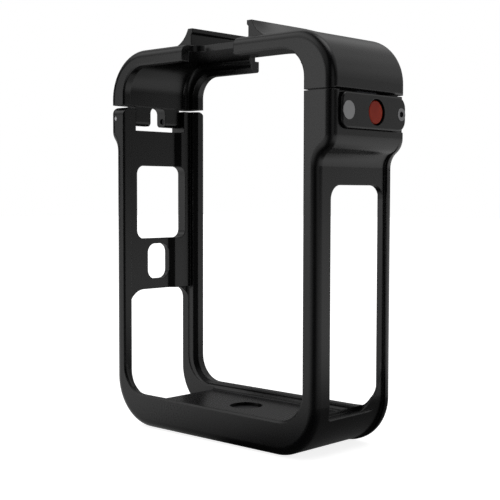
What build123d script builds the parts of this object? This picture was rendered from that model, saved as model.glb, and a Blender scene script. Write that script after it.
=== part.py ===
from build123d import *
import os

os.makedirs("parts", exist_ok=True)

# Frame: +X towards the latch side, +Y towards the back, +Z up.
# The origin is on the underside, midway between the side walls and between front and back.

# Pocket that holds the camera
pocket_half = 31.8
floor_top = 6.6
pocket_foot_radius = 8.5
corner_blend = 1.4

# Outside of the frame
wall = 1.4
half_width = pocket_half + wall
half_depth = 13.6
foot_radius, rear_foot_radius = 12.0, 11.4
edge_radius = 2.0
frame_top = 80.3
latch_rise = 0.35
ear_radius = 1.2
hinge_side = -half_width - 1.95
latch_side = half_width + 4.0
hinge_swell = (frame_top - 11.0, frame_top - 6.0)
latch_swell = (frame_top - 15.9, frame_top - 9.2)
rear_rim_front = half_depth - 2.6
rear_rim_step = 0.65
pocket_front, pocket_back = 2.4 - half_depth, half_depth - 3.3

# Open front and back of the frame
front_half, front_sill, front_corner = pocket_half - 2.35, floor_top + 1.45, 7.0
front_middle = -0.25
front_lip_back = 1.1 - half_depth
back_half, back_sill, back_corner = pocket_half - 2.8, floor_top + 1.6, 6.8
back_middle, back_latch_corner = 0.55, 3.5
slope_foot_corner, slope_head_corner = 7.1, 8.3
rim_break = 0.4
back_round = 1.0

# Raised strips on the inside of the hinge wall
strip_rise = 1.35
strip_face = strip_rise - pocket_half
strip_front, slot_strip_front = half_depth - 6.55, half_depth - 8.9
strip_foot, slot_strip_top = 33.55, 46.8

# Windows in the side walls: front, back, foot, head
high_window = (6.2 - half_depth, half_depth - 5.2, slot_strip_top, 65.7)
slot_middle, slot_half = -0.1, 3.65
slot_window = (slot_middle - slot_half, slot_middle + slot_half, strip_foot + 2.6, slot_strip_top - 1.4)
foot_window = (3.45 - half_depth, half_depth - 3.5)
foot_window_inner = -21.0
latch_window = (4.9 - half_depth, half_depth - 3.25, floor_top + 2.05, 60.45)
window_corner, slot_corner, foot_window_corner = 2.2, slot_half - 1.25, 5.0
latch_window_corner, latch_window_sweep, latch_window_turn = 3.2, 11.0, 4.5

# Lid
lid_gap, lid_rise = 0.6, 13.15
lid_bottom = frame_top + lid_gap
lid_top = lid_bottom + lid_rise
lid_shoulder, hinge_shoulder = 10.7, 11.8
lid_ceiling = lid_top - 1.55
lid_pocket_radius = 7.8
lid_front_head, lid_front_corner = lid_ceiling - 2.4, 6.5
lid_back_head, lid_back_corner = lid_ceiling - 3.1, 5.5
lid_edge_break = 0.35
notch_half, notch_edge, notch_corner = 8.5, half_depth - 5.4, 3.0
ledge_half, ledge_front, ledge_top = 11.0, half_depth - 1.4, lid_ceiling - 0.3

# Accessory shoe on the lid
shoe_half = 9.46
shoe_lip_half = 9.0
rail_top = lid_top + 4.2
shoe_lip_under = rail_top - 1.4
rail_front, rail_back = 4.0 - half_depth, half_depth - 4.0
rail_root, rail_foot = lid_top - 0.8, lid_top - 0.1
rail_crest = shoe_lip_half + 1.5
front_flank, front_flank_middle = shoe_half + 6.54, (shoe_half + 2.64, lid_top + 1.8)
back_flank, back_flank_middle = shoe_half + 17.14, (shoe_half + 9.14, lid_top + 1.95)

# Hinge
hinge_x, hinge_z = hinge_side + 1.95, frame_top - 2.8
pin_radius = 0.7
lobe_bore_radius = pin_radius + 0.05
pin_inner, pin_outer = 3.0, half_depth - 0.4
bay_front, bay_back = 5.85 - half_depth, half_depth - 5.55
bay_floor, bay_inside = frame_top - 5.6, 1.8 - pocket_half
lobe_inner, lobe_outer = 2.6, half_depth - 5.95
lobe_bottom = hinge_z - 1.5
lobe_face = hinge_side + 3.25
lobe_radius, lobe_root_radius = 1.0, 1.6

# Latch
latch_z = frame_top - 3.9
button_y = 1.2
rivet_y = 4.9 - half_depth
screw_y = half_depth - 3.1
plate_seat = latch_side - 1.1
plate_face = latch_side + 0.8
plate_front, plate_back = 2.7 - half_depth, half_depth - 1.4
plate_bottom, plate_top = frame_top - 7.7, frame_top
plate_front_corner, plate_back_corner = 1.9, 2.6
plate_gap = 0.15
cavity_floor = pocket_half + 1.2
cavity_front, cavity_back = button_y - 4.9, button_y + 4.9
cavity_bottom = frame_top - 7.0
rivet_head, rivet_shank = 2.0, 1.0
rivet_head_depth = 0.6
screw_head, screw_shank = 1.45, 0.8
screw_head_depth = 1.2
screw_bore_gap = 0.05
insert_radius = 1.5
head_proud = 0.05
hex_socket_radius, hex_socket_depth = 0.75, 0.9
button_hole_radius = 2.95
button_radius = 2.65
button_back, button_face = plate_seat + 0.1, plate_face - 0.25
button_round = 0.4
plunger_radius = 1.6
ear_back, ear_front = plate_seat - 0.95, plate_seat - 0.15
ear_half, ear_rise = 4.2, 0.8
leaf_x, leaf_thickness, leaf_half = cavity_floor + 1.0, 0.3, 2.6
leaf_top = frame_top - 0.3
strike_x, strike_thickness = leaf_x + 0.6, 0.6
strike_half = 3.5
strike_bottom, strike_head = frame_top - 1.5, lid_bottom + 3.8
strike_window_foot, strike_window_head = frame_top - 0.8, frame_top + 0.4
strike_screw_z, strike_screw_offset = lid_bottom + 2.1, 1.9
strike_screw_depth = 0.9
strike_gap = 0.1
strike_hole_radius = 0.9
drive_width, drive_length, drive_depth = 0.35, 1.8, 0.4

# Tripod bush
bush_head_radius, bush_radius = 4.0, 3.6
thread_radius = 3.175
bush_top, bush_shoulder, bush_foot = floor_top - 0.7, floor_top - 1.5, 0.6
bush_round = 0.5

# How far cutting shapes run past the faces they cut
over = 1.0


def block(x0, x1, y0, y1, z0, z1):
    size = Box(x1 - x0, y1 - y0, z1 - z0)
    return Pos((x0 + x1) / 2, (y0 + y1) / 2, (z0 + z1) / 2) * size


def along_y(face, y0, y1):
    """Pull a face drawn in X and Z from y0 back to y1."""
    return extrude(Plane.XZ.offset(-y0) * face, amount=y0 - y1)


def bar_x(radius, y, z, x0, x1):
    """Round bar or hole across the wall, from x0 to x1."""
    return extrude(Plane(origin=(x0, y, z), z_dir=(1, 0, 0)) * Circle(radius), amount=x1 - x0)


def bar_y(radius, x, z, y0, y1):
    return extrude(Plane(origin=(x, y0, z), z_dir=(0, 1, 0)) * Circle(radius), amount=y1 - y0)


def bar_z(radius, z0, z1):
    return extrude(Plane.XY.offset(z0) * Circle(radius), amount=z1 - z0)


def side_opening(y0, y1, z0, z1, radii, x0, x1):
    """Opening through a side wall. Radii: foot front, foot back, head back, head front."""
    face = make_face(Polyline((y0, z0), (y1, z0), (y1, z1), (y0, z1), (y0, z0)))
    for corner, radius in zip([(y0, z0), (y1, z0), (y1, z1), (y0, z1)], radii):
        spot = face.vertices().sort_by_distance(Vector(*corner, 0))[0]
        face = fillet(spot, radius)
    plane = Plane(origin=(x0, 0, 0), x_dir=(0, 1, 0), z_dir=(1, 0, 0))
    return extrude(plane * face, amount=x1 - x0)


def swell(x0, z0, x1, z1):
    """Two arcs that lead a side wall out to a wider one."""
    middle = ((x0 + x1) / 2, (z0 + z1) / 2)
    rise = TangentArc([(x0, z0), middle], tangent=(0, z1 - z0))
    fall = TangentArc([(x1, z1), middle], tangent=(0, z0 - z1))
    return [rise, fall]


def basin(half, bottom, radius, middle=0):
    """Opening outline with rounded lower corners, open at the top of the frame."""
    mouth = frame_top + foot_radius
    face = Pos(middle, (bottom + mouth) / 2) * Rectangle(2 * half, mouth - bottom)
    return fillet(face.vertices().group_by(Axis.Y)[0], radius)


def arch(half, top, radius, middle=0):
    """Opening outline with rounded upper corners, open at the bottom of the lid."""
    foot = frame_top - lid_shoulder
    face = Pos(middle, (foot + top) / 2) * Rectangle(2 * half, top - foot)
    return fillet(face.vertices().group_by(Axis.Y)[-1], radius)


def frame_outline(latch_wall, latch_foot):
    turn = latch_wall - latch_foot
    latch_top = frame_top + latch_rise
    ear = (hinge_side + ear_radius, frame_top)
    edges = [
        Line((-half_width + foot_radius, 0), (turn, 0)),
        TangentArc([(turn, 0), (latch_wall, latch_foot)], tangent=(1, 0)),
        Line((latch_wall, latch_foot), (latch_wall, latch_swell[0])),
        *swell(latch_wall, latch_swell[0], latch_side, latch_swell[1]),
        Line((latch_side, latch_swell[1]), (latch_side, latch_top)),
        Line((latch_side, latch_top), (0, latch_top)),
        Line((0, latch_top), (0, frame_top)),
        Line((0, frame_top), ear),
        TangentArc([ear, (hinge_side, frame_top - ear_radius)], tangent=(-1, 0)),
        Line((hinge_side, frame_top - ear_radius), (hinge_side, hinge_swell[1])),
        *swell(-half_width, hinge_swell[0], hinge_side, hinge_swell[1]),
        Line((-half_width, hinge_swell[0]), (-half_width, foot_radius)),
        TangentArc([(-half_width + foot_radius, 0), (-half_width, foot_radius)], tangent=(-1, 0)),
    ]
    return make_face(edges)


def outer_edges(solid, foot, head):
    """Front and back outline edges of a solid whose middles lie between two heights."""
    found = []
    for side in (-half_depth, half_depth):
        face = [f for f in solid.faces() if abs(f.center().Y - side) < 0.01][0]
        for edge in face.edges():
            if foot < edge.center().Z < head:
                found.append(edge)
    return found


def flare(outline, half, level, radius, middle, y_wide, y_tight):
    """Bevelled mouth of an opening; the wide end is larger by the depth of the bevel."""
    grow = abs(y_wide - y_tight)
    drop = -grow if outline is basin else grow
    wide = Plane.XZ.offset(-y_wide) * outline(half + grow, level + drop, radius + grow, middle)
    tight = Plane.XZ.offset(-y_tight) * outline(half, level, radius, middle)
    return loft([wide, tight])


def latch_slope(outline, level, wall_corner):
    """Square pocket corner on the latch side, and the slope from it to the rear opening."""
    edge = back_middle + back_half
    rim = half_depth - rim_break
    wall_face = outline(pocket_half / 2, level, wall_corner, pocket_half / 2)
    edge_face = outline(edge / 2, level, back_latch_corner, edge / 2)
    slope = loft([Plane.XZ.offset(-pocket_back) * wall_face, Plane.XZ.offset(-rim) * edge_face])
    return along_y(wall_face, 0, pocket_back) + slope + along_y(edge_face, rim, half_depth + over)


def open_ends(solid, outline, front, back, slope_corner):
    """Cut the front and back openings with their broken and rounded edges."""
    solid -= along_y(outline(*front), -half_depth - over, pocket_front + over)
    solid -= flare(outline, *front, -half_depth, -half_depth + rim_break)
    solid -= along_y(outline(*back), pocket_back - over, half_depth + over)
    solid -= flare(outline, *back, half_depth, half_depth - rim_break)
    solid -= flare(outline, *back, pocket_back, pocket_back + back_round)
    solid -= latch_slope(outline, back[1], slope_corner)
    return solid


def pocket_of(outline, *size):
    pocket = along_y(outline(*size), pocket_front, pocket_back)
    rear = pocket.edges().filter_by(lambda e: abs(e.center().Y - pocket_back) < 0.01)
    return fillet(rear, corner_blend)


# ---- frame ----
front_body = along_y(frame_outline(half_width, foot_radius), -half_depth, rear_rim_front)
rear_outline = frame_outline(half_width + rear_rim_step, rear_foot_radius)
rear_rim = along_y(rear_outline, rear_rim_front, half_depth)
frame = front_body + rear_rim
frame = fillet(outer_edges(frame, -over, frame_top - rim_break), edge_radius)
frame -= pocket_of(basin, pocket_half, floor_top, pocket_foot_radius)
frame = open_ends(
    frame,
    basin,
    (front_half, front_sill, front_corner, front_middle),
    (back_half, back_sill, back_corner, back_middle),
    slope_foot_corner,
)
front_floor = basin(front_half, floor_top, front_corner, front_middle)
frame -= along_y(front_floor, front_lip_back, pocket_front + over)


def hinge_wall_strip(front, z0, z1):
    """Raised strip along the back of the hinge wall, bevelled on its front edge."""
    rise = strip_rise
    root = -pocket_half - rim_break
    plan = make_face(
        Polyline(
            (root, front - rise),
            (-pocket_half, front - rise),
            (strip_face, front),
            (strip_face, pocket_back + rim_break),
            (root, pocket_back + rim_break),
            (root, front - rise),
        )
    )
    return extrude(Plane.XY.offset(z0) * plan, amount=z1 - z0)


frame += hinge_wall_strip(strip_front, strip_foot, frame_top)
frame += hinge_wall_strip(slot_strip_front, strip_foot, slot_strip_top)

# Openings in the hinge wall; the lowest one runs round the corner into the floor
wall_out, wall_in = -half_width - over, back_round - pocket_half + over
four_corners = (window_corner, window_corner, window_corner, window_corner)
slot_corners = (slot_corner, slot_corner, slot_corner, slot_corner)
head_corners = (rim_break, rim_break, latch_window_corner, foot_window_corner)
frame -= side_opening(*high_window, four_corners, wall_out, wall_in)
frame -= side_opening(*slot_window, slot_corners, wall_out, wall_in)
frame -= side_opening(*foot_window, -over, strip_foot, head_corners, wall_out, wall_in)
frame -= block(wall_out, foot_window_inner, *foot_window, -over, foot_radius)

# Long window in the latch wall; its lower rear corner is tighter on the inside
latch_corners = (over, latch_window_sweep, latch_window_corner, latch_window_corner)
inner_corners = (over, latch_window_turn, latch_window_corner, latch_window_corner)
frame -= side_opening(*latch_window, latch_corners, -wall_in, -wall_out)
frame -= side_opening(*latch_window, inner_corners, -wall_in, half_width - rim_break)

# Hinge bay and pin holes
frame -= block(hinge_side - over, bay_inside, bay_front, bay_back, bay_floor, frame_top + over)
frame -= bar_y(pin_radius, hinge_x, hinge_z, -half_depth - over, half_depth + over)

# Latch seat, cavity and fixing holes
seat_bottom = plate_bottom - plate_gap
frame -= side_opening(
    plate_front - plate_gap,
    half_depth + over,
    seat_bottom,
    frame_top + over,
    (plate_front_corner + plate_gap, rim_break, rim_break, rim_break),
    plate_seat,
    latch_side + over,
)
frame -= block(cavity_floor, latch_side, cavity_front, cavity_back, cavity_bottom, frame_top + over)
frame -= bar_x(rivet_shank, rivet_y, latch_z, cavity_floor, latch_side)
frame -= bar_x(insert_radius, screw_y, latch_z, cavity_floor, latch_side)

# Stepped hole for the tripod bush
frame -= bar_z(bush_head_radius, bush_shoulder, floor_top + over)
frame -= bar_z(bush_radius, -over, bush_shoulder)

# ---- lid ----
shoulder_z = lid_top - lid_shoulder
right_turn, left_turn = latch_side - lid_shoulder, hinge_side + hinge_shoulder
left_z = lid_top - hinge_shoulder
lid_edges = [
    Line((hinge_side, lid_bottom), (latch_side, lid_bottom)),
    Line((latch_side, lid_bottom), (latch_side, shoulder_z)),
    TangentArc([(latch_side, shoulder_z), (right_turn, lid_top)], tangent=(0, 1)),
    Line((right_turn, lid_top), (left_turn, lid_top)),
    TangentArc([(left_turn, lid_top), (hinge_side, left_z)], tangent=(-1, 0)),
    Line((hinge_side, left_z), (hinge_side, lid_bottom)),
]
lid = along_y(make_face(lid_edges), -half_depth, half_depth)
lid = chamfer(lid.edges().filter_by(Axis.Y).sort_by(Axis.Z)[:2].sort_by(Axis.X)[-1], lid_edge_break)
lid = fillet(outer_edges(lid, lid_bottom + over, lid_top + over), edge_radius)
lid -= pocket_of(arch, pocket_half, lid_ceiling, lid_pocket_radius)
lid = open_ends(
    lid,
    arch,
    (front_half, lid_front_head, lid_front_corner, front_middle),
    (back_half, lid_back_head, lid_back_corner, back_middle),
    slope_head_corner,
)


def rail_section(y, flank_middle, flank):
    flank_foot = (flank, rail_foot)
    lip_break = shoe_half - shoe_lip_half
    edges = [
        Line((shoe_half, rail_root), (shoe_half, shoe_lip_under)),
        Line((shoe_half, shoe_lip_under), (shoe_lip_half, shoe_lip_under + lip_break)),
        Line((shoe_lip_half, shoe_lip_under + lip_break), (shoe_lip_half, rail_top)),
        Line((shoe_lip_half, rail_top), (rail_crest, rail_top)),
        ThreePointArc((rail_crest, rail_top), flank_middle, flank_foot),
        Line(flank_foot, (flank, rail_root)),
        Line((flank, rail_root), (shoe_half, rail_root)),
    ]
    return Plane.XZ.offset(-y) * make_face(edges)


# Rails: a hollow flank at the front end that runs out to a straight slope at the back
front_section = rail_section(rail_front, front_flank_middle, front_flank)
back_section = rail_section(rail_back, back_flank_middle, back_flank)
rail = loft([front_section, back_section])
lid += rail
lid += mirror(rail, Plane.YZ)

# Notches in the top, front and back, and the low ledge behind the rear one
notch_reach = half_depth + 2 * notch_corner - notch_edge
notch_plan = RectangleRounded(2 * notch_half, notch_reach, notch_corner)
for side in (-1, 1):
    middle = side * (notch_edge + notch_reach / 2)
    lid -= Pos(0, middle, lid_ceiling) * extrude(notch_plan, amount=lid_shoulder, both=True)
lid -= block(-ledge_half, ledge_half, ledge_front, half_depth + over, ledge_top, lid_top + over)

# Hinge lobes, with an arched gap between them
lobes = block(hinge_side, lobe_face, -lobe_outer, lobe_outer, lobe_bottom, lid_bottom + over)
lobes = fillet(lobes.edges().filter_by(Axis.Y).group_by(Axis.Z)[0], lobe_radius)
lobes -= bar_y(lobe_bore_radius, hinge_x, hinge_z, -lobe_outer - over, lobe_outer + over)
lobes -= side_opening(
    -lobe_inner,
    lobe_inner,
    lobe_bottom - over,
    lid_bottom,
    (rim_break, rim_break, lobe_root_radius, lobe_root_radius),
    hinge_side - over,
    lobe_face + over,
)
lid += lobes

# Slot and screw holes for the strike
strike_y0, strike_y1 = button_y - strike_half, button_y + strike_half
strike_back = strike_x + strike_thickness
lid -= block(
    strike_x - screw_bore_gap,
    strike_back + screw_bore_gap,
    strike_y0 - strike_gap,
    strike_y1 + strike_gap,
    lid_bottom - over,
    strike_head + strike_gap,
)
strike_screws_y = (button_y - strike_screw_offset, button_y + strike_screw_offset)
screw_tip, screw_seat = plate_seat, cavity_floor - 0.2
for y in strike_screws_y:
    lid -= bar_x(screw_shank, y, strike_screw_z, pocket_half - over, screw_tip + strike_gap)
    lid -= bar_x(screw_head + screw_bore_gap, y, strike_screw_z, pocket_half - over, screw_seat)

# ---- hinge pins ----
hinge_pin_front = bar_y(pin_radius, hinge_x, hinge_z, -pin_outer, -pin_inner)
hinge_pin_rear = bar_y(pin_radius, hinge_x, hinge_z, pin_inner, pin_outer)

# ---- latch plate ----
corners = (plate_front_corner, plate_back_corner, plate_back_corner, plate_front_corner)
latch_plate = side_opening(
    plate_front, plate_back, plate_bottom, plate_top, corners, plate_seat, plate_face
)
latch_plate = fillet(latch_plate.edges().group_by(Axis.X)[-1], button_round)
latch_plate -= bar_x(button_hole_radius, button_y, latch_z, plate_seat - over, plate_face + over)
rivet_step, screw_step = plate_face - rivet_head_depth, plate_face - screw_head_depth
latch_plate -= bar_x(rivet_shank, rivet_y, latch_z, plate_seat - over, plate_face)
latch_plate -= bar_x(rivet_head, rivet_y, latch_z, rivet_step, plate_face + over)
latch_plate -= bar_x(screw_shank + screw_bore_gap, screw_y, latch_z, plate_seat - over, plate_face)
latch_plate -= bar_x(screw_head + screw_bore_gap, screw_y, latch_z, screw_step, plate_face + over)

# ---- rivet, screw and threaded insert that hold the plate ----
head_face = plate_face + head_proud
latch_rivet = bar_x(rivet_head, rivet_y, latch_z, rivet_step, head_face)
latch_rivet += bar_x(rivet_shank, rivet_y, latch_z, cavity_floor, rivet_step)

latch_screw = bar_x(screw_head, screw_y, latch_z, screw_step, head_face)
latch_screw += bar_x(screw_shank, screw_y, latch_z, cavity_floor + rim_break, screw_step)
socket = Plane(origin=(head_face, screw_y, latch_z), z_dir=(-1, 0, 0))
latch_screw -= extrude(socket * RegularPolygon(hex_socket_radius, 6), amount=hex_socket_depth)

latch_insert = bar_x(insert_radius, screw_y, latch_z, cavity_floor, plate_seat)
latch_insert -= bar_x(screw_shank, screw_y, latch_z, cavity_floor - over, plate_seat + over)

# ---- release button: coloured cap on a plunger with ears that keep it in ----
release_button = bar_x(button_radius, button_y, latch_z, button_back, button_face)
release_button = fillet(release_button.edges().group_by(Axis.X)[-1], button_round)

plunger_tip = leaf_x + leaf_thickness + strike_gap
button_plunger = bar_x(plunger_radius, button_y, latch_z, plunger_tip, button_back)
button_plunger += block(
    ear_back,
    ear_front,
    button_y - ear_half,
    button_y + ear_half,
    latch_z - ear_rise,
    latch_z + ear_rise,
)

# ---- catch leaf: sprung strip whose folded lip holds the strike ----
leaf_front, leaf_back = button_y - leaf_half, button_y + leaf_half
leaf_face = leaf_x + leaf_thickness
catch_leaf = block(leaf_x, leaf_face, leaf_front, leaf_back, cavity_bottom, leaf_top)
catch_leaf += block(
    leaf_x, plate_seat, leaf_front, leaf_back, cavity_bottom, cavity_bottom + leaf_thickness
)
catch_leaf += block(
    leaf_x, strike_back + leaf_thickness, leaf_front, leaf_back, leaf_top - leaf_thickness, leaf_top
)

# ---- strike plate under the lid ----
lid_strike = block(strike_x, strike_back, strike_y0, strike_y1, strike_bottom, strike_head)
lid_strike -= block(
    strike_x - over,
    strike_back + over,
    leaf_front - 2 * strike_gap,
    leaf_back + 2 * strike_gap,
    strike_window_foot,
    strike_window_head,
)
for y in strike_screws_y:
    lid_strike -= bar_x(strike_hole_radius, y, strike_screw_z, strike_x - over, strike_back + over)

screw_face = screw_seat - strike_screw_depth
screw_solids = []
for y in strike_screws_y:
    screw = bar_x(screw_head, y, strike_screw_z, screw_face, screw_seat)
    screw += bar_x(screw_shank, y, strike_screw_z, screw_seat, screw_tip)
    drive = Plane(origin=(screw_face, y, strike_screw_z), z_dir=(1, 0, 0))
    screw -= extrude(drive * Rectangle(drive_width, drive_length), amount=drive_depth)
    screw -= extrude(drive * Rectangle(drive_length, drive_width), amount=drive_depth)
    screw_solids.append(screw.solid())
strike_screws = Compound(children=screw_solids)

# ---- tripod bush in the foot ----
tripod_bush = bar_z(bush_head_radius, bush_shoulder, bush_top)
tripod_bush = fillet(tripod_bush.edges().group_by(Axis.Z)[-1], bush_round)
tripod_bush += bar_z(bush_radius, bush_foot, bush_shoulder)
tripod_bush -= bar_z(thread_radius, bush_foot - over, bush_shoulder)

nodes = {
    "main_frame": frame,
    "top_lid": lid,
    "hinge_pin_front": hinge_pin_front,
    "hinge_pin_rear": hinge_pin_rear,
    "latch_plate": latch_plate,
    "latch_rivet": latch_rivet,
    "latch_screw": latch_screw,
    "latch_insert": latch_insert,
    "release_button": release_button,
    "button_plunger": button_plunger,
    "catch_leaf": catch_leaf,
    "lid_strike": lid_strike,
    "strike_screws": strike_screws,
    "tripod_bush": tripod_bush,
}

for name, shape in nodes.items():
    export_step(shape, f"parts/{name}.step")
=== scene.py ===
import math

import bpy
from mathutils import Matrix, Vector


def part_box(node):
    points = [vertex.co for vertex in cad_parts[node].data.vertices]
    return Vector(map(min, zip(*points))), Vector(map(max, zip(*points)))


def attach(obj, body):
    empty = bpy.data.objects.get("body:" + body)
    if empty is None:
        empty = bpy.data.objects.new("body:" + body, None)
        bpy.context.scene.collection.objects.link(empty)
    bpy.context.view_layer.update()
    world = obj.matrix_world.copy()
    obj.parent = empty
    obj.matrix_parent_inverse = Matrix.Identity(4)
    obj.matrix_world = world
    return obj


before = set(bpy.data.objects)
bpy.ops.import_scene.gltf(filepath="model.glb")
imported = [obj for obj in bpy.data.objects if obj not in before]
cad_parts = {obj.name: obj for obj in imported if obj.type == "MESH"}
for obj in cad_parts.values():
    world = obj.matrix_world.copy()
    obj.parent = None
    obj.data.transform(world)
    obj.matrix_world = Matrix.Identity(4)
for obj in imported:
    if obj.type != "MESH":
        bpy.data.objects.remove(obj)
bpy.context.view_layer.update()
mm = 0.001


# small helpers
def shade(hexText):
    # sRGB hex to the linear values that the shaders use
    values = []
    for i in (1, 3, 5):
        c = int(hexText[i:i + 2], 16) / 255
        values.append(c / 12.92 if c <= 0.04045 else ((c + 0.055) / 1.055) ** 2.4)
    return (*values, 1.0)


def addNode(tree, kind, settings=None, inputs=None):
    # inputs: a socket's name or number, with a value or with the output socket that feeds it
    node = tree.nodes.new(kind)
    for name, value in (settings or {}).items():
        setattr(node, name, value)
    for name, value in (inputs or {}).items():
        if isinstance(value, bpy.types.NodeSocket):
            tree.links.new(value, node.inputs[name])
        else:
            node.inputs[name].default_value = value
    return node


def newMaterial(name):
    material = bpy.data.materials.new(name)
    material.use_nodes = True
    material.node_tree.nodes.clear()
    return material, material.node_tree


def perMm(size):
    # texture scale that repeats once in this many millimetres
    return 1 / (size * mm)


def centreOf(nodeName):
    low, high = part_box(nodeName)
    return tuple((a + b) / 2 for a, b in zip(low, high))


print("stage: materials")

# anodised aluminium: bead-blasted, then dyed and sealed. It is a satin skin with a fine grain, a dye that
# took a little unevenly, and edges made a little smoother and painted paler, a painted highlight along every edge
blackSkin = {
    # the third colour is a painted highlight, laid along the edges
    "colour": "#070708", "paler": "#0b0b0c", "paintedEdgeHighlight": "#161617",
    "grainMm": 0.35,                             # blast marks of about 0.1 mm, drawn coarser so that they show
    "grainDetail": 2.0, "grainRoughness": 0.55,
    "grainRange": (0.3, 0.7),
    "waveMm": 9.0, "waveRange": (0.35, 0.65),    # patches of dye
    "bumpMm": 0.004, "bumpStrength": 0.2,
    "roughness": (0.25, 0.29),
    "edgeMm": 0.30, "edgeRange": (0.995, 0.90),  # how far a rounded normal leaves the face before it is an edge
    "edgePolish": 0.04,
    "ior": 1.45,
    "specular": 0.42,                            # the sealed oxide is duller than a lacquer
}
plateSkin = {
    **blackSkin, "colour": "#080809", "paler": "#0c0c0d",
    "roughness": (0.26, 0.34), "edgeMm": 0.18,
}
buttonSkin = {
    # its third colour is the painted highlight along the button's edges
    **blackSkin, "colour": "#982814", "paler": "#ad361a", "paintedEdgeHighlight": "#c4502c",
    "roughness": (0.34, 0.42), "edgeMm": 0.20, "specular": 0.20,
}


def anodisedAluminium(name, skin):
    material, tree = newMaterial(name)
    coords = addNode(tree, "ShaderNodeTexCoord").outputs["Object"]
    grain = addNode(tree, "ShaderNodeTexNoise", {}, {
        "Vector": coords, "Scale": perMm(skin["grainMm"]),
        "Detail": skin["grainDetail"], "Roughness": skin["grainRoughness"]})
    wave = addNode(tree, "ShaderNodeTexNoise", {}, {
        "Vector": coords, "Scale": perMm(skin["waveMm"]), "Detail": 2.0, "Roughness": 0.5})
    tone = addNode(tree, "ShaderNodeMapRange", {}, {
        "Value": wave.outputs["Fac"], "From Min": skin["waveRange"][0], "From Max": skin["waveRange"][1]})
    dye = addNode(tree, "ShaderNodeMix", {"data_type": "RGBA"}, {
        0: tone.outputs["Result"], 6: shade(skin["colour"]), 7: shade(skin["paler"])})
    edge = addNode(tree, "ShaderNodeBevel", {"samples": 6}, {"Radius": skin["edgeMm"] * mm})
    flat = addNode(tree, "ShaderNodeNewGeometry").outputs["Normal"]
    flatness = addNode(tree, "ShaderNodeVectorMath", {"operation": "DOT_PRODUCT"}, {
        0: edge.outputs["Normal"], 1: flat})
    # mask of the edges: there the painted highlight is laid and the roughness lowered
    paintedEdgeHighlight = addNode(tree, "ShaderNodeMapRange", {}, {
        "Value": flatness.outputs["Value"],
        "From Min": skin["edgeRange"][0], "From Max": skin["edgeRange"][1]})
    # the base colour, with the painted highlight mixed in along the edges
    base = addNode(tree, "ShaderNodeMix", {"data_type": "RGBA"}, {
        0: paintedEdgeHighlight.outputs["Result"], 6: dye.outputs[2], 7: shade(skin["paintedEdgeHighlight"])})
    blasted = addNode(tree, "ShaderNodeMapRange", {}, {
        "Value": grain.outputs["Fac"],
        "From Min": skin["grainRange"][0], "From Max": skin["grainRange"][1],
        "To Min": skin["roughness"][0], "To Max": skin["roughness"][1]})
    rough = addNode(tree, "ShaderNodeMath", {"operation": "MULTIPLY_ADD"}, {
        0: paintedEdgeHighlight.outputs["Result"], 1: -skin["edgePolish"], 2: blasted.outputs["Result"]})
    bump = addNode(tree, "ShaderNodeBump", {}, {
        "Strength": skin["bumpStrength"], "Distance": skin["bumpMm"] * mm,
        "Height": grain.outputs["Fac"], "Normal": edge.outputs["Normal"]})
    surface = addNode(tree, "ShaderNodeBsdfPrincipled", {}, {
        "Base Color": base.outputs[2], "Metallic": 0.0, "Roughness": rough.outputs[0],
        "IOR": skin["ior"], "Specular IOR Level": skin["specular"],
        "Normal": bump.outputs["Normal"]})
    addNode(tree, "ShaderNodeOutputMaterial", {}, {"Surface": surface.outputs["BSDF"]})
    return material


frameBlack = anodisedAluminium("black_anodised_frame", blackSkin)
lidBlack = anodisedAluminium("black_anodised_lid", blackSkin)
plateBlack = anodisedAluminium("black_anodised_latch_plate", plateSkin)
buttonRed = anodisedAluminium("red_anodised_button", buttonSkin)

# steel and brass cut on a lathe: a soft shine with faint rings round each piece's own middle, and smudges
alongX = (0.0, math.radians(90), 0.0)
alongY = (math.radians(90), 0.0, 0.0)
alongZ = (0.0, 0.0, 0.0)
waveTurn = 2 * math.pi / 20                      # a wave texture at scale 1 repeats after this length

latheMarks = {
    "ringMm": 1.885,                             # tool marks of about 0.05 mm, drawn much coarser so that they show
    "smudgeMm": 1.4,
    "bumpMm": 0.003, "bumpStrength": 0.25,
    "edgeMm": 0.12,
}
rivetMetal = {
    "piece": "latch_rivet", "turn": alongX,
    "colour": "#8c8c8d", "paler": "#9a9a9b", "roughness": (0.38, 0.50),
}
screwMetal = {
    "piece": "latch_screw", "turn": alongX,
    "colour": "#7a7a7b", "paler": "#88888a", "roughness": (0.34, 0.46),
}
strikeScrewMetal = {
    "piece": "strike_screws", "turn": alongX,
    "colour": "#2e2e30", "paler": "#3c3c3e", "roughness": (0.34, 0.44),
}
bushMetal = {
    "piece": "tripod_bush", "turn": alongZ,
    "colour": "#232325", "paler": "#2e2e30", "roughness": (0.36, 0.46),
}
frontPinMetal = {
    "piece": "hinge_pin_front", "turn": alongY,
    "colour": "#a9a9ab", "paler": "#bcbcbe", "roughness": (0.28, 0.38),
}
# the rear pin is coloured darker than the front one: painted shade for the deep bore it sits in
rearPinMetal = {
    "piece": "hinge_pin_rear", "turn": alongY,
    "colour": "#2c2c2e", "paler": "#38383a", "roughness": (0.40, 0.50),
}
plungerMetal = {
    "piece": "button_plunger", "turn": alongX,
    "colour": "#a9a9ab", "paler": "#bcbcbe", "roughness": (0.25, 0.35),
}
insertMetal = {
    "piece": "latch_insert", "turn": alongX,
    "colour": "#b8924c", "paler": "#caa55c", "roughness": (0.25, 0.38),
}


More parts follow.
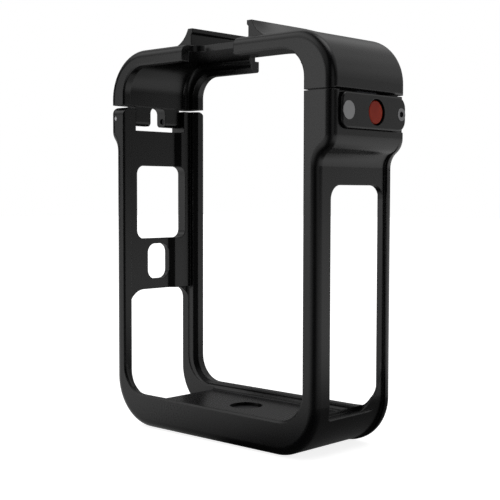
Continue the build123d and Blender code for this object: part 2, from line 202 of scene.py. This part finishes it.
def turnedMetal(name, metal):
    material, tree = newMaterial(name)
    coords = addNode(tree, "ShaderNodeTexCoord").outputs["Object"]
    local = addNode(tree, "ShaderNodeMapping", {"vector_type": "TEXTURE"}, {
        "Vector": coords, "Location": centreOf(metal["piece"]), "Rotation": metal["turn"]})
    rings = addNode(tree, "ShaderNodeTexWave", {
        "wave_type": "RINGS", "rings_direction": "Z", "wave_profile": "SIN"}, {
        "Vector": local.outputs["Vector"],
        "Scale": perMm(latheMarks["ringMm"]) * waveTurn,
        "Distortion": 0.6, "Detail": 1.0})
    smudge = addNode(tree, "ShaderNodeTexNoise", {}, {
        "Vector": coords, "Scale": perMm(latheMarks["smudgeMm"]), "Detail": 3.0})
    tone = addNode(tree, "ShaderNodeMix", {"data_type": "RGBA"}, {
        0: smudge.outputs["Fac"], 6: shade(metal["colour"]), 7: shade(metal["paler"])})
    rough = addNode(tree, "ShaderNodeMapRange", {}, {
        "Value": smudge.outputs["Fac"],
        "To Min": metal["roughness"][0], "To Max": metal["roughness"][1]})
    edge = addNode(tree, "ShaderNodeBevel", {"samples": 6}, {"Radius": latheMarks["edgeMm"] * mm})
    bump = addNode(tree, "ShaderNodeBump", {}, {
        "Strength": latheMarks["bumpStrength"], "Distance": latheMarks["bumpMm"] * mm,
        "Height": rings.outputs["Fac"], "Normal": edge.outputs["Normal"]})
    surface = addNode(tree, "ShaderNodeBsdfPrincipled", {}, {
        "Base Color": tone.outputs[2], "Metallic": 1.0, "Roughness": rough.outputs["Result"],
        "Normal": bump.outputs["Normal"]})
    addNode(tree, "ShaderNodeOutputMaterial", {}, {"Surface": surface.outputs["BSDF"]})
    return material


rivetSteel = turnedMetal("bare_steel_rivet", rivetMetal)
screwSteel = turnedMetal("bare_steel_screw", screwMetal)
strikeScrewBlack = turnedMetal("blackened_steel_strike_screws", strikeScrewMetal)
bushBlack = turnedMetal("blackened_steel_bush", bushMetal)
pinFrontSteel = turnedMetal("ground_steel_front_pin", frontPinMetal)
pinRearSteel = turnedMetal("steel_rear_pin_painted_shade", rearPinMetal)
plungerSteel = turnedMetal("ground_steel_plunger", plungerMetal)
insertBrass = turnedMetal("plain_brass_insert", insertMetal)

# cold-rolled spring strip, coloured dark as painted shade for the narrow gaps it sits in, with faint lines along
# the rolling direction
springStrip = {
    "colour": "#3c3d41", "paler": "#4b4c50", "roughness": (0.30, 0.42),
    "lineMm": 0.5,                               # rolling lines of about 0.05 mm, drawn coarser so that they show
    "stretch": (1.0, 0.08, 1.0),                 # the strip was rolled along Y
    "bumpMm": 0.003, "bumpStrength": 0.3,
}


def rolledSteel(name, strip):
    material, tree = newMaterial(name)
    coords = addNode(tree, "ShaderNodeTexCoord").outputs["Object"]
    stretched = addNode(tree, "ShaderNodeMapping", {}, {"Vector": coords, "Scale": strip["stretch"]})
    lines = addNode(tree, "ShaderNodeTexNoise", {}, {
        "Vector": stretched.outputs["Vector"], "Scale": perMm(strip["lineMm"]), "Detail": 3.0})
    tone = addNode(tree, "ShaderNodeMix", {"data_type": "RGBA"}, {
        0: lines.outputs["Fac"], 6: shade(strip["colour"]), 7: shade(strip["paler"])})
    rough = addNode(tree, "ShaderNodeMapRange", {}, {
        "Value": lines.outputs["Fac"],
        "To Min": strip["roughness"][0], "To Max": strip["roughness"][1]})
    bump = addNode(tree, "ShaderNodeBump", {}, {
        "Strength": strip["bumpStrength"], "Distance": strip["bumpMm"] * mm,
        "Height": lines.outputs["Fac"]})
    surface = addNode(tree, "ShaderNodeBsdfPrincipled", {}, {
        "Base Color": tone.outputs[2], "Metallic": 1.0, "Roughness": rough.outputs["Result"],
        "Normal": bump.outputs["Normal"]})
    addNode(tree, "ShaderNodeOutputMaterial", {}, {"Surface": surface.outputs["BSDF"]})
    return material


springSteel = rolledSteel("spring_steel_painted_shade", springStrip)

finishes = {
    "main_frame": frameBlack,
    "top_lid": lidBlack,
    "latch_plate": plateBlack,
    "release_button": buttonRed,
    "latch_rivet": rivetSteel,
    "latch_screw": screwSteel,
    "strike_screws": strikeScrewBlack,
    "tripod_bush": bushBlack,
    "hinge_pin_front": pinFrontSteel,
    "hinge_pin_rear": pinRearSteel,
    "button_plunger": plungerSteel,
    "latch_insert": insertBrass,
    "catch_leaf": springSteel,
    "lid_strike": springSteel,
}
for nodeName, finish in finishes.items():
    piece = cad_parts[nodeName]
    piece.data.materials.clear()
    piece.data.materials.append(finish)

print("stage: tripod thread")

thread = {
    "rootMm": 3.20, "crestMm": 2.65,             # a quarter-inch screw, 20 turns to the inch
    "pitchMm": 1.27, "turns": 2.4,
    "rootWidthMm": 1.05, "crestWidthMm": 0.30,
    "startMm": 1.25,
    "stepsPerTurn": 40,
    "smoothDegrees": 35,
}


def makeThread(spec):
    bpy.ops.object.select_all(action="DESELECT")
    depth = spec["rootMm"] - spec["crestMm"]
    middle = spec["rootMm"] - depth / 2
    bpy.ops.mesh.primitive_plane_add(
        size=depth * mm, rotation=(math.radians(90), 0, 0),
        location=(middle * mm, 0, spec["startMm"] * mm))
    ridge = bpy.context.object
    ridge.name = "tripod_thread"
    bpy.ops.object.transform_apply(location=True, rotation=True, scale=True)
    # the square is drawn out into the thread's section, narrow at the crest and wide at the root
    for corner in ridge.data.vertices:
        atCrest = corner.co.x < middle * mm
        width = spec["crestWidthMm"] if atCrest else spec["rootWidthMm"]
        side = math.copysign(width / 2, corner.co.z - spec["startMm"] * mm)
        corner.co.z = (spec["startMm"] + side) * mm
    wind = ridge.modifiers.new("wind", "SCREW")
    wind.axis = "Z"
    wind.angle = math.radians(360 * spec["turns"])
    wind.screw_offset = spec["pitchMm"] * spec["turns"] * mm
    wind.steps = wind.render_steps = round(spec["stepsPerTurn"] * spec["turns"])
    bpy.ops.object.modifier_apply(modifier="wind")
    bpy.ops.object.mode_set(mode="EDIT")
    bpy.ops.mesh.select_all(action="SELECT")
    bpy.ops.mesh.remove_doubles(threshold=0.001 * mm)
    bpy.ops.mesh.fill_holes(sides=4)
    bpy.ops.mesh.select_all(action="SELECT")
    bpy.ops.mesh.normals_make_consistent(inside=False)
    bpy.ops.object.mode_set(mode="OBJECT")
    bpy.ops.object.shade_smooth_by_angle(angle=math.radians(spec["smoothDegrees"]))
    ridge.data.materials.append(bushBlack)
    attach(ridge, "frame")


makeThread(thread)

print("stage: floor and light")

# The skin is so dark that its look is nearly all reflection. The camera sees white paper and a white room,
# and glossy rays see the same paper shaded, with softboxes round it, as a small studio has them
studio = {
    "floorSize": 4.0, "floorHeight": -0.0002,    # in metres, just clear of the foot
    "paper": "#d2d2d2",
    "paperGlow": 0.85,                           # for the camera alone, so the lit paper reaches white
    "paperSides": 1.0,                           # paper as it shows in the skin, white below the side lights
    "paperMiddle": 0.08,                         # and dull towards the camera and the back
    "paperAcross": (0.73, 0.68, 0.0),            # from the left lights to the right ones
    "paperEdge": (0.15, 0.85),
    "shadeCentre": (0.045, 0.010, 0.0),          # the object's shade leans away from the strong left lamps
    "paperShade": (0.10, 0.035, 0.115),          # share left there, and where that fades, in metres
}
softboxes = {                                    # direction round +Z from +X, height, reach, strength
    "leftLow": (-125, 3, 20, 2.00),
    "leftHigh": (-137, 44, 34, 1.30),
    "frontHigh": (-92, 34, 34, 0.51),
    "frontRight": (-20, 7, 22, 0.46),
    "rightLow": (58, 7, 22, 0.50),
    "rightHigh": (43, 34, 34, 0.50),
    "backRight": (88, 34, 34, 0.52),
    "backHigh": (133, 34, 34, 0.27),
    "backTop": (133, 60, 30, 0.40),
    "backLeft": (178, 34, 34, 0.26),
    "overhead": (40, 70, 26, 2.40),
}
coreDegrees = 7                                  # the even middle of each softbox
white = (1.0, 1.0, 1.0, 1.0)

bpy.ops.object.select_all(action="DESELECT")
bpy.ops.mesh.primitive_plane_add(size=studio["floorSize"], location=(0, 0, studio["floorHeight"]))
floor = bpy.context.object
floor.name = "floor"
floorPaper, floorTree = newMaterial("paper_floor")
floorPath = addNode(floorTree, "ShaderNodeLightPath")
paper = addNode(floorTree, "ShaderNodeBsdfDiffuse", {}, {"Color": shade(studio["paper"])})
onFloor = addNode(floorTree, "ShaderNodeTexCoord").outputs["Object"]

# paper in the skin: bright to both sides, dull between, and shaded close to the object
spot = addNode(floorTree, "ShaderNodeVectorMath", {"operation": "NORMALIZE"}, {0: onFloor})
across = addNode(floorTree, "ShaderNodeVectorMath", {"operation": "DOT_PRODUCT"}, {
    0: spot.outputs["Vector"], 1: studio["paperAcross"]})
aside = addNode(floorTree, "ShaderNodeMath", {"operation": "ABSOLUTE"}, {0: across.outputs["Value"]})
reflected = addNode(floorTree, "ShaderNodeMapRange", {"interpolation_type": "SMOOTHSTEP"}, {
    "Value": aside.outputs[0], "From Min": studio["paperEdge"][0], "From Max": studio["paperEdge"][1],
    "To Min": studio["paperMiddle"], "To Max": studio["paperSides"]})
away = addNode(floorTree, "ShaderNodeVectorMath", {"operation": "DISTANCE"}, {
    0: onFloor, 1: studio["shadeCentre"]})
shaded = addNode(floorTree, "ShaderNodeMapRange", {"interpolation_type": "SMOOTHSTEP"}, {
    "Value": away.outputs["Value"], "From Min": studio["paperShade"][1],
    "From Max": studio["paperShade"][2], "To Min": studio["paperShade"][0]})
dimmed = addNode(floorTree, "ShaderNodeMath", {"operation": "MULTIPLY"}, {
    0: reflected.outputs["Result"], 1: shaded.outputs["Result"]})
inSkin = addNode(floorTree, "ShaderNodeMath", {"operation": "MULTIPLY"}, {
    0: floorPath.outputs["Is Glossy Ray"], 1: dimmed.outputs[0]})
level = addNode(floorTree, "ShaderNodeMath", {"operation": "MULTIPLY_ADD"}, {
    0: floorPath.outputs["Is Camera Ray"], 1: studio["paperGlow"], 2: inSkin.outputs[0]})
glow = addNode(floorTree, "ShaderNodeEmission", {}, {"Color": white, "Strength": level.outputs[0]})
glowing = addNode(floorTree, "ShaderNodeAddShader", {}, {0: paper.outputs[0], 1: glow.outputs[0]})
shown = addNode(floorTree, "ShaderNodeMixShader", {}, {
    0: floorPath.outputs["Is Glossy Ray"], 1: glowing.outputs[0], 2: glow.outputs[0]})
addNode(floorTree, "ShaderNodeOutputMaterial", {}, {"Surface": shown.outputs[0]})
floor.data.materials.append(floorPaper)

world = bpy.data.worlds.new("studio")
bpy.context.scene.world = world
world.use_nodes = True
sky = world.node_tree
sky.nodes.clear()
direction = addNode(sky, "ShaderNodeTexCoord").outputs["Generated"]
room = 0.0
for turn, height, reach, strength in softboxes.values():
    turn, height = math.radians(turn), math.radians(height)
    middle = (math.cos(turn) * math.cos(height), math.sin(turn) * math.cos(height), math.sin(height))
    nearness = addNode(sky, "ShaderNodeVectorMath", {"operation": "DOT_PRODUCT"}, {0: direction, 1: middle})
    softbox = addNode(sky, "ShaderNodeMapRange", {"interpolation_type": "SMOOTHSTEP"}, {
        "Value": nearness.outputs["Value"], "From Min": math.cos(math.radians(reach)),
        "From Max": math.cos(math.radians(coreDegrees)), "To Min": 0.0, "To Max": strength})
    room = addNode(sky, "ShaderNodeMath", {"operation": "ADD"}, {
        0: softbox.outputs["Result"], 1: room}).outputs[0]
lit = addNode(sky, "ShaderNodeBackground", {}, {"Color": white, "Strength": room})
seen = addNode(sky, "ShaderNodeBackground", {}, {"Color": white, "Strength": 1.0})
skyPath = addNode(sky, "ShaderNodeLightPath")
straight = addNode(sky, "ShaderNodeMath", {"operation": "MAXIMUM"}, {
    0: skyPath.outputs["Is Camera Ray"], 1: skyPath.outputs["Is Transmission Ray"]})
skyMix = addNode(sky, "ShaderNodeMixShader", {}, {
    0: straight.outputs[0], 1: lit.outputs[0], 2: seen.outputs[0]})
addNode(sky, "ShaderNodeOutputWorld", {}, {"Surface": skyMix.outputs[0]})

print("stage: camera")

view = {
    "place": (179.5, -191.4, 58.6),              # in millimetres
    "turn": 42.978, "tilt": -3.011, "roll": 0.117,
    "lens": 77.544, "sensor": 36.0,
    "near": 0.01, "far": 20.0,
}
lens = bpy.data.cameras.new("camera")
lens.lens = view["lens"]
lens.sensor_width = view["sensor"]
lens.clip_start = view["near"]
lens.clip_end = view["far"]
camera = bpy.data.objects.new("camera", lens)
bpy.context.scene.collection.objects.link(camera)
camera.location = tuple(c * mm for c in view["place"])
camera.rotation_euler = (
    math.radians(90 + view["tilt"]), math.radians(-view["roll"]), math.radians(view["turn"]))
bpy.context.scene.camera = camera
bpy.context.scene.view_settings.view_transform = "Standard"
